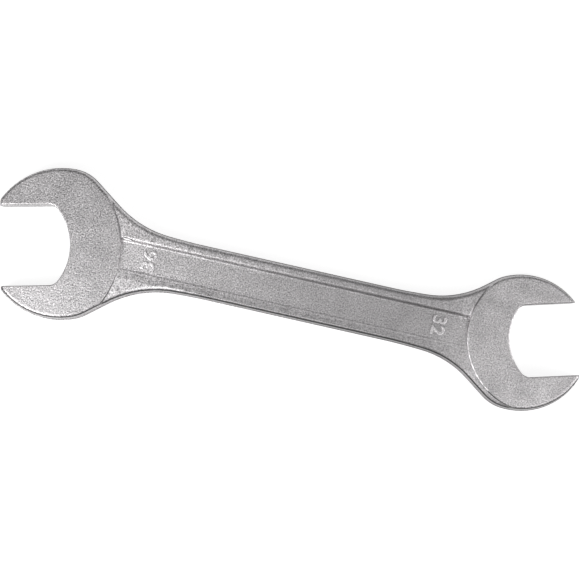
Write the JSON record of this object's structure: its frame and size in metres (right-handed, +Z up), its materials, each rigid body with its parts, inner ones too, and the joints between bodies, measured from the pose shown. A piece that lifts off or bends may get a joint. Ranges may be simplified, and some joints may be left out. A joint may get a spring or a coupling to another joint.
{
  "type": "double open end wrench",
  "caption": "Flat forged double open end wrench: a large and a small open jaw, both tilted, joined by a straight handle with rounded rims and a sunk panel.",
  "frame": {"origin": "on the surface that the wrench lies on, under the middle of its box", "axes": "+X along the handle from the large head to the small head, +Y across the handle, +Z up out of the flat face"},
  "size_m": [0.2696, 0.068, 0.013],
  "materials": {
    "steel": "fine grained bare forged steel, blasted and matt, a little smoother along worn edges"
  },
  "bodies": {
    "root": {"wrench": "steel"}
  },
  "joints": []
}
